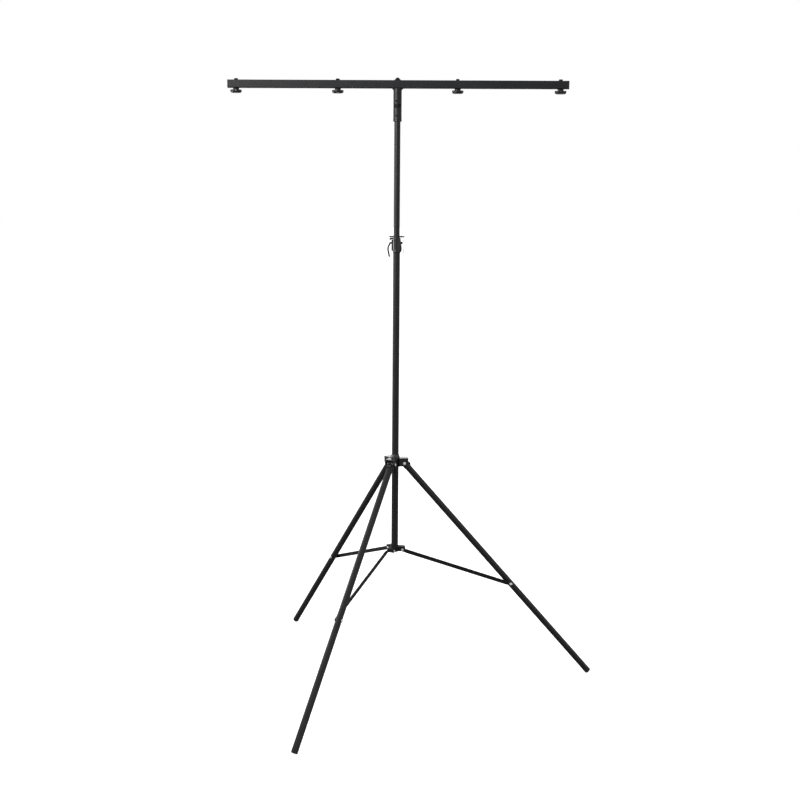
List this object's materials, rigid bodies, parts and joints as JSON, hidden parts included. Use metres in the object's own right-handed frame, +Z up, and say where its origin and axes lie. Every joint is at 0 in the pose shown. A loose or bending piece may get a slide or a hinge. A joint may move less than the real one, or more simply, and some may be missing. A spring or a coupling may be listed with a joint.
{
  "type": "light stand",
  "caption": "Telescopic light stand: a folding braced tripod, a clamped two-stage mast with a safety pin, and a square T-bar with knobs for hanging stage lamps.",
  "frame": {"origin": "on the floor under the mast's axis", "axes": "+Z up along the mast, +X along the T-bar to the side of the safety pin's ring, +Y to the clamp's side (away from the camera)"},
  "size_m": [1.4587, 1.4092, 2.3896],
  "materials": {
    "coat": "black satin powder coat on steel tube",
    "plastic": "black moulded plastic, fine grain",
    "rubber": "black rubber, matte",
    "zinc": "bright zinc-plated steel",
    "steel": "plain grey steel",
    "blackened": "blackened steel"
  },
  "bodies": {
    "lower_mast": {"lower_mast_tube": "coat", "mast_bottom_plug": "plastic", "brace_hub": "plastic", "brace_hub_rivet_1": "zinc", "brace_hub_rivet_2": "zinc", "brace_hub_rivet_3": "zinc", "mast_collar": "plastic", "collar_liner": "plastic", "clamp_bolt": "zinc", "clamp_nut": "blackened", "cam_plate": "blackened"},
    "clamp_lever": {"clamp_lever": "blackened"},
    "upper_mast": {"upper_mast_tube": "coat", "upper_tube_plug": "plastic"},
    "safety_pin": {"safety_pin": "steel", "pin_split_ring": "steel", "lanyard": "steel", "lanyard_ring": "steel"},
    "t_head": {"t_socket": "coat", "t_bar": "coat", "bar_end_cap_1": "plastic", "bar_end_cap_2": "plastic", "head_bush": "plastic", "head_cap_bolt": "blackened", "socket_screw_1": "blackened", "socket_screw_2": "blackened", "lamp_bolt_1": "blackened", "lamp_bolt_2": "blackened", "lamp_bolt_3": "blackened", "lamp_bolt_4": "blackened"},
    "lamp_knob_1": {"lamp_knob_1": "plastic"},
    "lamp_knob_2": {"lamp_knob_2": "plastic"},
    "lamp_knob_3": {"lamp_knob_3": "plastic"},
    "lamp_knob_4": {"lamp_knob_4": "plastic"},
    "leg_hub": {"leg_hub": "plastic", "leg_rivet_1": "zinc", "leg_rivet_2": "zinc", "leg_rivet_3": "zinc"},
    "hub_lock": {"hub_lock_screw": "zinc", "hub_lock_knob": "plastic"},
    "leg_1": {"leg_tube_1": "coat", "leg_cap_1": "plastic", "leg_foot_1": "rubber", "leg_stud_1": "zinc"},
    "leg_2": {"leg_tube_2": "coat", "leg_cap_2": "plastic", "leg_foot_2": "rubber", "leg_stud_2": "zinc"},
    "leg_3": {"leg_tube_3": "coat", "leg_cap_3": "plastic", "leg_foot_3": "rubber", "leg_stud_3": "zinc"},
    "brace_1": {"brace_1": "coat", "brace_rivet_1": "zinc"},
    "brace_2": {"brace_2": "coat", "brace_rivet_2": "zinc"},
    "brace_3": {"brace_3": "coat", "brace_rivet_3": "zinc"}
  },
  "joints": [
    {"name": "leg_hub_slide", "type": "slide", "parent": "lower_mast", "child": "leg_hub", "axis": [0, 0, 1], "range_m": [0, 0.7804]},
    {"name": "leg_fold_1", "type": "hinge", "parent": "leg_hub", "child": "leg_1", "pos_m": [0.03537, 0.00403, 0.897], "axis": [-0.1132, 0.9936, 0], "range_deg": [0, 37.4]},
    {"name": "leg_fold_2", "type": "hinge", "parent": "leg_hub", "child": "leg_2", "pos_m": [-0.02118, 0.02862, 0.897], "axis": [-0.8039, -0.5948, 0], "range_deg": [0, 37.4]},
    {"name": "leg_fold_3", "type": "hinge", "parent": "leg_hub", "child": "leg_3", "pos_m": [-0.01419, -0.03265, 0.897], "axis": [0.9171, -0.3987, 0], "range_deg": [0, 37.4]},
    {"name": "brace_fold_1", "type": "hinge", "parent": "lower_mast", "child": "brace_1", "pos_m": [0.0303, 0.00345, 0.542], "axis": [0.1132, -0.9936, 0], "range_deg": [0, 103.21]},
    {"name": "brace_fold_2", "type": "hinge", "parent": "lower_mast", "child": "brace_2", "pos_m": [-0.01814, 0.02452, 0.542], "axis": [0.8039, 0.5948, 0], "range_deg": [0, 103.21]},
    {"name": "brace_fold_3", "type": "hinge", "parent": "lower_mast", "child": "brace_3", "pos_m": [-0.01216, -0.02797, 0.542], "axis": [-0.9171, 0.3987, 0], "range_deg": [0, 103.21]},
    {"name": "mast_slide", "type": "slide", "parent": "lower_mast", "child": "upper_mast", "axis": [0, 0, 1], "range_m": [0, 0.45]},
    {"name": "pin_pull", "type": "slide", "parent": "upper_mast", "child": "safety_pin", "axis": [1, 0, 0], "range_m": [0, 0.07]},
    {"name": "head_swivel", "type": "hinge", "parent": "upper_mast", "child": "t_head", "pos_m": [0, 0, 2.234], "axis": [0, 0, 1], "continuous": true},
    {"name": "lamp_knob_1_turn", "type": "hinge", "parent": "t_head", "child": "lamp_knob_1", "pos_m": [-0.616, 0, 2.34], "axis": [0, 0, 1], "continuous": true},
    {"name": "lamp_knob_2_turn", "type": "hinge", "parent": "t_head", "child": "lamp_knob_2", "pos_m": [-0.2275, 0, 2.34], "axis": [0, 0, 1], "continuous": true},
    {"name": "lamp_knob_3_turn", "type": "hinge", "parent": "t_head", "child": "lamp_knob_3", "pos_m": [0.2275, 0, 2.34], "axis": [0, 0, 1], "continuous": true},
    {"name": "lamp_knob_4_turn", "type": "hinge", "parent": "t_head", "child": "lamp_knob_4", "pos_m": [0.616, 0, 2.34], "axis": [0, 0, 1], "continuous": true},
    {"name": "clamp_lever_open", "type": "hinge", "parent": "lower_mast", "child": "clamp_lever", "pos_m": [-0.025, 0.0205, 1.766], "axis": [0, 1, 0], "range_deg": [0, 90]},
    {"name": "hub_lock_turn", "type": "hinge", "parent": "leg_hub", "child": "hub_lock", "pos_m": [0.01595, 0.03668, 0.893], "axis": [0.3987, 0.9171, 0], "continuous": true}
  ],
  "couplings": [
    {"joint": "leg_fold_1", "follows": "leg_hub_slide", "rad_per_m": 0.83643},
    {"joint": "leg_fold_2", "follows": "leg_hub_slide", "rad_per_m": 0.83643},
    {"joint": "leg_fold_3", "follows": "leg_hub_slide", "rad_per_m": 0.83643},
    {"joint": "brace_fold_1", "follows": "leg_hub_slide", "rad_per_m": 2.3082},
    {"joint": "brace_fold_2", "follows": "leg_hub_slide", "rad_per_m": 2.3082},
    {"joint": "brace_fold_3", "follows": "leg_hub_slide", "rad_per_m": 2.3082}
  ]
}
